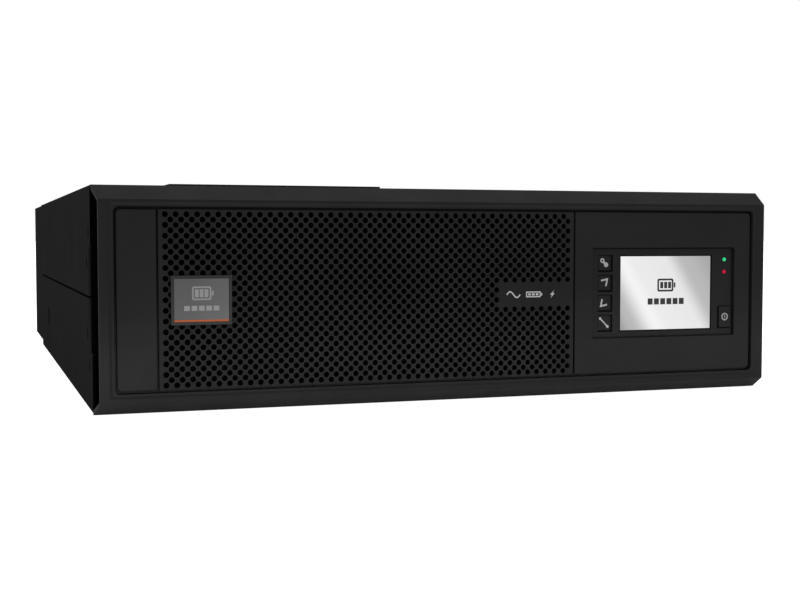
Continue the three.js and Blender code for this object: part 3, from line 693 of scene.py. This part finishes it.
def dumbbell(reach, radius, steps=20):
    """Two round ends joined by a bar as thick as their radius."""
    neck = 30
    turns = [math.radians(neck + (360 - 2 * neck) * i / steps) for i in range(steps + 1)]
    left = [(radius * math.cos(t) - reach, radius * math.sin(t)) for t in turns]
    return left + moved(left, 0, 0, math.pi)


def key_painted_shadow():
    """Painted shadow round the keys and the power button: dark frames, widest where the face's edge throws a
    shadow.
    """
    y = local_box("display_housing")[0].y
    narrow, wide, widest, inside = 0.15, 0.7, 0.9, 0.05
    shadow_widths = {name: (narrow, wide) for name in KEYS}
    shadow_widths["power_button"] = (widest, narrow)
    loops = []
    for name, (left, right) in shadow_widths.items():
        low, high = local_box(name)
        loops.append(rectangle(low.x - left, high.x + right, low.z - widest, high.z + narrow))
        loops.append(rectangle(low.x - inside, high.x + inside, low.z - inside, high.z + inside))
    printed("key_painted_shadow", "front", (0, y, 0), loops, "display_plastic", "bezel", BLACK_INK_AND_SHADE)


def key_marks():
    """Pictograms printed at 45 degrees, so that they read in a rack and in a tower."""
    chevron = stroke([(-2.5, -0.65), (0, 3.15), (2.5, -0.65)], 1.1)
    marks = {
        "key_escape": [dumbbell(1.9, 1.5), circle(-1.9, 0, 0.6, 12)],
        "key_up": [chevron],
        "key_down": [[(u, -v) for u, v in chevron]],
        "key_enter": [dumbbell(3.6, 0.9)],
    }
    shift = 0.2
    for name, loops in marks.items():
        low, _, x, z = face_of(name)
        loops = [moved(loop, x - shift, z + shift, math.radians(-45)) for loop in loops]
        printed(name + "_mark", "front", (0, low.y, 0), loops, "display_plastic", name, INK_KEY)


def power_mark():
    """A ring with a short bar inside it."""
    low, _, x, z = face_of("power_button")
    outer, inner, bar_half_width, bar_half = 2.5, 1.6, 0.3, 0.9
    bar = rectangle(x - bar_half_width, x + bar_half_width, z - bar_half, z + bar_half)
    loops = [circle(x, z, outer), circle(x, z, inner), bar]
    printed("power_mark", "front", (0, low.y, 0), loops, "display_plastic", "power_button", INK_GREY)


perforated_grille()
grille_edge_shade()
case_edge_shade()
screen_border()
label_marks()
badge_marks()
screen_marks()
key_painted_shadow()
key_marks()
power_mark()

# ---------------------------------------------------------------- screws


# A screw head's levels as shares of its height, and its widths as shares of its radius.
HEAD = {"waist": 0.3, "collar": 0.5, "shoulder": 0.93, "crown": 0.9, "arm": 0.55, "arm_half": 0.15}


def cross(reach, half):
    """A plus-shaped loop."""
    arm = [(half, half), (half, reach), (-half, reach)]
    return [point for quarter in range(4) for point in moved(arm, 0, 0, math.pi / 2 * quarter)]


def screws(name, face, places, radius, height=1.4):
    """Pan heads with a cross recess, at machine points on a face of the case."""
    out = Vector(FACES[face][2])
    collar, waist = height * HEAD["collar"], height * HEAD["waist"]
    profile = [(0, 0), (radius, 0), (radius, waist), (radius * HEAD["shoulder"], collar), (0, collar)]
    piece = Piece(face)
    for number, place in enumerate(places):
        recess = moved(cross(radius * HEAD["arm"], radius * HEAD["arm_half"]), 0, 0, number)
        crown = filled_loops([circle(0, 0, radius * HEAD["crown"]), recess], height - collar)
        piece.add(turned(profile), place)
        piece.add(crown, Vector(place) + out * collar)
    piece.ride(name, "plated_steel", "chassis", soft=0.08)


def at_corners(x, z, half_x, half_z, y):
    return [(x + i * half_x, y, z + j * half_z) for i in (-1, 1) for j in (-1, 1)]


# ---------------------------------------------------------------- rear

# A fan's screws from its centre, across and up; its hub's radius and rim, and its blades' tips and roots.
FAN = {"holes": 35.75, "hub": 18, "rim": 2, "blades": 7, "tip": 35.5, "root": 0.6, "clearance": 4}
# A blade's angles in degrees, its depth at the root, how much shallower its tip is, and its curve.
BLADE = {"swept": 18, "span": 42, "steps": 6, "depth": 1.1, "taper": 0.3, "camber": 1.5, "thickness": 1.1}
# The wire guards: rings, the spokes that carry them, and the eyes at the spokes' ends.
RING_RADII = (9, 15.5, 22, 28.5, 35)
RING = {"wire": 0.75, "height": 2.0}
SPOKE = {"half": 0.65, "levels": (0.5, 1.6), "short": 2.5}
EYE = {"radius": 3.0, "wire": 0.65, "height": 0.95}
# The signal connectors: the outlines of shell, bore and core, the posts, and the rows of sockets.
SIGNAL = {"slope": 0.05, "shell": (12.5, 4.2, 2.2), "bore": (11.9, 3.6, 1.8), "core": (11.7, 3.4, 1.7)}
SIGNAL |= {"posts": 16.2, "post": 2.7, "thread": 1.4, "pitch": 3, "socket": 0.65, "rows": (8, 7)}
# The USB port's tongue and its contacts, as half width, half height and length, and where they are.
USB = {"depth": 9, "tongue": (2.8, 1.6, 7.6), "contact": (0.6, 0.08, 6.5), "apart": 1.3, "level": 1.65}


def wire_ring(radius, wire, height):
    """A ring of round wire, with its middle at a height."""
    profile = [(radius + u, height + v) for u, v in circle(0, 0, wire, 8)]
    return turned(profile, 40, closed=True)


def fan_guard(number):
    """Round wire rings on two crossed wires, screwed down at four eyes."""
    middle = local_middle(f"fan_rotor_{number}")
    place = (middle.x, REAR, middle.z)
    piece = Piece("rear")
    for radius in RING_RADII:
        piece.add(wire_ring(radius, **RING), place)
    reach, half = FAN["holes"] * math.sqrt(2), SPOKE["half"]
    for turn in range(4):
        angle = math.radians(45 + 90 * turn)
        spoke = box((RING_RADII[0], reach - SPOKE["short"]), (-half, half), SPOKE["levels"])
        piece.add(spoke, place, angle)
        eye = (place[0] + reach * math.cos(angle), REAR, place[2] + reach * math.sin(angle))
        piece.add(wire_ring(**EYE), eye)
    guard = piece.ride(f"wire_guard_{number}", "plated_steel", "chassis", smooth=True)
    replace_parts(guard, f"fan_guard_{number}")
    places = at_corners(middle.x, middle.z, FAN["holes"], FAN["holes"], REAR)
    screws(f"fan_screws_{number}", "rear", places, radius=2.6, height=2.4)


def blade(hub, tip, depth):
    """One swept and twisted blade: its leading edge is at the front and its trailing edge at the rear."""
    bm = bmesh.new()
    steps = BLADE["steps"]
    swept, span = math.radians(BLADE["swept"]), math.radians(BLADE["span"])
    rows = []
    for i in range(steps + 1):
        out = i / steps
        radius = hub + (tip - hub) * i / steps
        deep = BLADE["depth"] - BLADE["taper"] * out
        row = []
        for j in range(steps + 1):
            along = j / steps
            angle = swept * out**2 + span * j / steps
            height = depth * (along - 0.5) * deep + BLADE["camber"] * math.sin(math.pi * along)
            row.append(bm.verts.new((radius * math.cos(angle), radius * math.sin(angle), height)))
        rows.append(row)
    for low, high in zip(rows, rows[1:]):
        for j in range(steps):
            bm.faces.new((low[j], low[j + 1], high[j + 1], high[j]))
    bmesh.ops.solidify(bm, geom=bm.faces[:], thickness=BLADE["thickness"])
    return bm


def fan_rotor(number):
    """A hub cup with swept blades, and a plain ring printed on the hub."""
    node = f"fan_rotor_{number}"
    low, high = local_box(node)
    x, z = (low.x + high.x) / 2, local_middle(f"fan_frame_{number}").z
    half = (high.y - low.y) / 2
    place = (x, (low.y + high.y) / 2, z)
    hub, rim = FAN["hub"], FAN["rim"]
    cup = [(0, -half), (hub, -half), (hub, half - rim), (hub - rim, half), (0, half)]
    piece = Piece("rear").add(turned(cup, 40), place)
    for angle in full_turn(FAN["blades"]):
        piece.add(blade(hub - FAN["root"], FAN["tip"], 2 * half - FAN["clearance"]), place, angle)
    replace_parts(piece.ride(f"blades_{number}", "connector_plastic", node), node)
    sticker = [circle(x, z, 13, 32), circle(x, z, 12.2, 32), circle(x, z, 3)]
    printed(f"hub_mark_{number}", "rear", (0, high.y, 0), sticker, "connector_plastic", node, INK_GREY)


def d_outline(half_width, half_height, radius):
    """The rounded, slightly tapered outline of a signal connector."""
    loop = rounded(-half_width, half_width, -half_height, half_height, radius)
    return [(u * (1 + SIGNAL["slope"] * v / half_height), v) for u, v in loop]


def parallel_port(number):
    """A signal connector: a flanged metal shell with two hexagon posts round a plastic core with sockets."""
    node = f"parallel_port_{number}"
    low, high, x, z = face_of(node)
    half_x, half_z = (high.x - low.x) / 2, (high.z - low.z) / 2
    flange = 1
    proud = high.y - REAR
    face = (x, REAR + flange, z)
    shell = Piece("rear").add(box((-half_x, half_x), (-half_z, half_z), (low.y - REAR, flange)), (x, REAR, z))
    outlines = [d_outline(*SIGNAL["shell"]), d_outline(*SIGNAL["bore"])]
    shell.add(filled_loops(outlines, proud - flange), face)
    for side in (-1, 1):
        post = [circle(0, 0, SIGNAL["post"], 6), circle(0, 0, SIGNAL["thread"], 16)]
        shell.add(filled_loops(post, proud - 1.5), (x + side * SIGNAL["posts"], face[1], z))
    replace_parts(shell.ride(f"signal_shell_{number}", "plated_steel", "chassis", soft=0.15), node)
    pitch = SIGNAL["pitch"]
    sockets = []
    for count, v in zip(SIGNAL["rows"], (pitch / 2, -pitch / 2)):
        sockets += [((i - (count - 1) / 2) * pitch, v) for i in range(count)]
    core = [d_outline(*SIGNAL["core"])] + [circle(u, v, SIGNAL["socket"], 12) for u, v in sockets]
    insert = Piece("rear").add(filled_loops(core, proud - 2), face)
    insert.ride(f"signal_core_{number}", "connector_plastic", "chassis")


def block(half_width, half_height, length):
    """A bmesh block round the outward axis."""
    return box((-half_width, half_width), (-half_height, half_height), (0, length))


def usb_tongue():
    """The plastic tongue inside the USB port, with two contacts on each of its faces."""
    _, high, x, z = face_of("usb_port")
    depth = high.y - USB["depth"]
    tongue = Piece("rear").add(block(*USB["tongue"]), (x, depth, z))
    tongue.ride("usb_tongue", "connector_plastic", "chassis", soft=0.1)
    contacts = Piece("rear")
    for side in (-1, 1):
        for row in (-1, 1):
            contacts.add(block(*USB["contact"]), (x + side * USB["apart"], depth, z + row * USB["level"]))
    contacts.ride("usb_contacts", "plated_steel", "chassis", material=BRASS)


def contact_plug(ways=6):
    """The green plug's front: a row of wire entries below a row of screws."""
    low, high = local_box("dry_contact_block")
    pitch = (high.x - low.x) / ways
    margin, entry_half, well = 0.3, 1.5, 1.6
    entry_low, entry_high, screw_z = low.z + 1.1, low.z + 4.1, high.z - 2.4
    loops = [rectangle(low.x + margin, high.x - margin, low.z + margin, high.z - margin)]
    heads = []
    for i in range(ways):
        x = low.x + (i + 0.5) * pitch
        loops += [rounded(x - entry_half, x + entry_half, entry_low, entry_high, 0.3)]
        loops += [circle(x, screw_z, well, 20)]
        heads.append((x, high.y, screw_z))
    face = Piece("rear").add(filled_loops(loops, 1.2), (0, high.y, 0))
    face.ride("plug_face", "plug_green", "chassis", soft=0.1)
    screws("plug_screws", "rear", heads, radius=1.35, height=0.7)


def battery_socket():
    """Contacts inside the battery cabinet's socket, and the screws in its flange."""
    _, high, x, z = face_of("battery_connector")
    pitch, depth, contact, flange = 11, 14, (3.2, 1.1, 11), 1.5
    pins = Piece("rear")
    for i in (-1, 0, 1):
        pins.add(block(*contact), (x + i * pitch, high.y - depth, z))
    pins.ride("battery_contacts", "plated_steel", "chassis", soft=0.3, material=BRASS)
    screws("battery_screws", "rear", at_corners(x, z, 24.8, 14.8, REAR + flange), radius=1.8)


def breaker_marks():
    """The on and off symbols, two ribs and the terminal screws of the breaker's two poles."""
    low, high, x, z = face_of("input_breaker")
    place = (0, high.y, 0)
    symbol, bar_half_width, bar_half, ring = 11.2, 0.6, 2, (2.4, 1.6)
    on, off = z + symbol, z - symbol
    marks = [rectangle(x - bar_half_width, x + bar_half_width, on - bar_half, on + bar_half)]
    marks += [circle(x, off, radius) for radius in ring]
    printed("breaker_marks", "rear", place, marks, "connector_plastic", "chassis", INK_LIGHT)
    rib_x, rib_half, inset, rib_height = 16.2, 0.8, 1.5, 1.2
    ribs = Piece("rear")
    for side in (-1, 1):
        rib = box((-rib_half, rib_half), (low.z + inset, high.z - inset), (0, rib_height))
        ribs.add(rib, (x + side * rib_x, high.y, 0))
    ribs.ride("breaker_ribs", "connector_plastic", "chassis", soft=0.3)
    screws("breaker_screws", "rear", at_corners(x, z, 10, 19, high.y), radius=1.9, height=1)


def terminal_screws(ways=5):
    """Screws in the terminal cover's corners, and the terminals' own screws inside it."""
    low, high, x, z = face_of("terminal_cover")
    inset, half_z, flange = 3.2, 23, 1.5
    places = at_corners(x, z, (high.x - low.x) / 2 - inset, half_z, low.y + flange)
    screws("cover_screws", "rear", places, radius=2.2)
    low, high, _, z = face_of("terminal_block")
    pitch = (high.x - low.x) / ways
    places = [(low.x + (i + 0.5) * pitch, REAR + 1, z) for i in range(ways)]
    screws("terminal_screws", "rear", places, radius=4.2, height=2.4)


def card_rib():
    """A raised frame pressed into the card slot's cover."""
    _, high, x, z = face_of("card_slot_cover")
    rib = {"half_x": 34, "half_z": 12, "width": 1.4, "radius": 2.5, "height": 0.5}
    edges = []
    for inset in (0, rib["width"]):
        half_x, half_z = rib["half_x"] - inset, rib["half_z"] - inset
        edges.append(rounded(x - half_x, x + half_x, z - half_z, z + half_z, rib["radius"]))
    frame_rib = Piece("rear").add(filled_loops(edges, rib["height"]), (0, high.y, 0))
    frame_rib.ride("card_rib", "case_paint", "chassis", soft=0.2)


def card_thumbscrews():
    """A knurled and slotted thumbscrew at each end of the card slot's cover."""
    _, high, x, z = face_of("card_slot_cover")
    teeth, radius, cut, length, apart = 20, 4.2, 0.3, 4.8, 43
    angles = full_turn(2 * teeth)
    knurl = [moved([(radius - cut * (i % 2), 0)], 0, 0, angle)[0] for i, angle in enumerate(angles)]
    slot = rectangle(-3, 3, -0.5, 0.5)
    neck = {"radius": 2.6, "height": 1.2}
    shank = [(0, 0), (neck["radius"], 0), (neck["radius"], neck["height"]), (0, neck["height"])]
    thumbs = Piece("rear")
    for side in (-1, 1):
        place = (x + side * apart, high.y, z)
        thumbs.add(turned(shank), place)
        thumbs.add(filled_loops([knurl, slot], length), (place[0], place[1] + neck["height"], place[2]))
    thumbs.ride("card_thumbscrews", "plated_steel", "chassis", soft=0.15)


def earth_mark():
    """The earth symbol beside the stud, and the washer under its nut."""
    middle = local_middle("ground_stud")
    x, z = middle.x, middle.z
    symbol, thick = x + 9.5, 0.6
    bars = ((2.6, 0.2), (1.7, -1.2), (0.8, -2.6))  # half widths and heights
    lines = [rectangle(symbol - half, symbol + half, z + v, z + v + thick) for half, v in bars]
    lines.append(rectangle(symbol - thick / 2, symbol + thick / 2, z + 0.8, z + 3.2))
    printed("earth_mark", "rear", (0, REAR, 0), lines, "badge_silver", "chassis", INK_LIGHT)
    bore, rim, height = 3.4, 6.4, 0.3
    washer = turned([(bore, 0), (rim, 0), (rim, height), (bore, height)], 32, closed=True)
    Piece("rear").add(washer, (x, REAR, z)).ride("earth_washer", "plated_steel", "chassis")


def rating_label():
    """A blank rating plate with ruled lines, in place of printed ratings."""
    left, low, width, height = -19, 58, 50, 20
    margin, pitch, thick, count, right_margin, shorter = 3, 3, 0.7, 5, 4, 7
    plate = [rounded(left, left + width, low, low + height, 1)]
    printed("rating_plate", "rear", (0, REAR, 0), plate, "badge_silver", "chassis", INK_GREY)
    lines = []
    for i in range(count):
        z = low + margin + pitch * i
        right = left + width - right_margin - shorter * (i % 2)
        lines.append(rectangle(left + margin, right, z, z + thick))
    printed("rating_lines", "rear", (0, REAR + INK, 0), lines, "badge_silver", "chassis", BLACK_INK_AND_SHADE)


def rear_screws():
    """Heads round the rim of the rear plate."""
    low, high, _, z = face_of("rear_housing")
    places = at_corners(0, z, high.x - 6, 54, REAR)
    places += [(x, REAR, high.z - 4) for x in (-75, 35)]
    places += [(x, REAR, low.z + 4.5) for x in (-25, 45)]
    screws("rear_screws", "rear", places, radius=2.6)


for fan_number in (1, 2):
    fan_guard(fan_number)
    fan_rotor(fan_number)
    parallel_port(fan_number)
usb_tongue()
contact_plug()
battery_socket()
breaker_marks()
terminal_screws()
card_rib()
card_thumbscrews()
earth_mark()
rating_label()
rear_screws()

# ---------------------------------------------------------------- top and underside


def lid_screws():
    """Low heads in the access plate's corners and along the case's rear edge."""
    low, high = local_box("top_access_plate")
    inset = 7
    xs, ys = (low.x + inset, high.x - inset), (low.y + inset, high.y - inset)
    places = [(x, y, high.z) for x in xs for y in ys]
    screws("plate_screws", "top", places, radius=2.6, height=0.2)
    roof = local_box("top_cover")[1]
    places = [(x, roof.y - 8, roof.z) for x in (-190, -63, 63, 190)]
    screws("roof_screws", "top", places, radius=2.8, height=1.2)


def under_screws():
    floor_z = local_box("base_tray")[0].z
    places = [(x, y, floor_z) for x in (-180, -60, 60, 180) for y in (90, 270, 480)]
    screws("tray_screws", "under", places, radius=2.8, height=1.2)


lid_screws()
under_screws()

# ---------------------------------------------------------------- stage, lights and camera


SKY_GLOW = 0.51  # the surroundings' brightness for the light that falls on the part
FLOOR = {"half": 30, "glow": 0.21, "dark": 0.88, "light": 0.9}  # the glow adds to the light it sends back
LIGHTS = {
    "overhead": {"at": (0, -0.3, 2.2), "to": (0, -0.1, 0), "size": (2.4, 2.4), "watts": 12.5, "spread": 180},
    "low_front": {
        "at": (0.22, -1.1, 0.012),
        "to": (0.22, -0.3, 0.012),
        "size": (1.7, 0.07),
        "watts": 0.125,
        "spread": 6,
    },
}


def seen_or_not(tree, seen, unseen):
    """One value where the camera looks straight at a surface, and another for the light it gives."""
    path = tree.nodes.new("ShaderNodeLightPath")
    span = tree.nodes.new("ShaderNodeMapRange")
    span.inputs["To Min"].default_value = unseen
    span.inputs["To Max"].default_value = seen
    tree.links.new(path.outputs["Is Camera Ray"], span.inputs["Value"])
    return span.outputs["Result"]


def floor():
    """A pale plain floor."""
    bm = bmesh.new()
    bmesh.ops.create_grid(bm, x_segments=1, y_segments=1, size=FLOOR["half"])
    mesh = bpy.data.meshes.new("floor")
    bm.to_mesh(mesh)
    bm.free()
    obj = bpy.data.objects.new("floor", mesh)
    bpy.context.scene.collection.objects.link(obj)
    s = Shader("floor")
    whites = s.shade(s.spread(s.noise(400, 2), 0, 1), (FLOOR["dark"],) * 3, (FLOOR["light"],) * 3)
    s.link(whites, s.bsdf.inputs["Base Color"])
    s.set(Roughness=0.9, Specular_IOR_Level=0.0, Emission_Color=(1, 1, 1, 1))
    s.link(seen_or_not(s.tree, 1.0, FLOOR["glow"]), s.bsdf.inputs["Emission Strength"])
    mesh.materials.append(s.material)


def soft_light(name, look):
    data = bpy.data.lights.new(name, "AREA")
    data.shape = "RECTANGLE"
    data.size, data.size_y = look["size"]
    data.energy = look["watts"]
    data.spread = math.radians(look["spread"])
    light = bpy.data.objects.new(name, data)
    light.location = look["at"]
    light.rotation_euler = (Vector(look["to"]) - Vector(look["at"])).to_track_quat("-Z", "Y").to_euler()
    light.visible_camera = False
    bpy.context.scene.collection.objects.link(light)


def world():
    """White behind the part, and a dimmer glow for the light that falls on it."""
    made = bpy.data.worlds.new("studio")
    made.use_nodes = True
    background = made.node_tree.nodes["Background"]
    background.inputs["Color"].default_value = (1, 1, 1, 1)
    made.node_tree.links.new(seen_or_not(made.node_tree, 1.0, SKY_GLOW), background.inputs["Strength"])
    bpy.context.scene.world = made


def camera():
    data = bpy.data.cameras.new("camera")
    data.lens = CAMERA["lens"]
    data.sensor_width = CAMERA["sensor"]
    made = bpy.data.objects.new("camera", data)
    made.location = row_point(CAMERA["x"], CAMERA["y"], CAMERA["z"])
    made.rotation_euler = (math.radians(90 - CAMERA["pitch"]), 0, -math.radians(CAMERA["yaw"]))
    bpy.context.scene.collection.objects.link(made)
    bpy.context.scene.camera = made


floor()
world()
for light_name, light_look in LIGHTS.items():
    soft_light(light_name, light_look)
camera()
bpy.context.scene.view_settings.view_transform = "Standard"
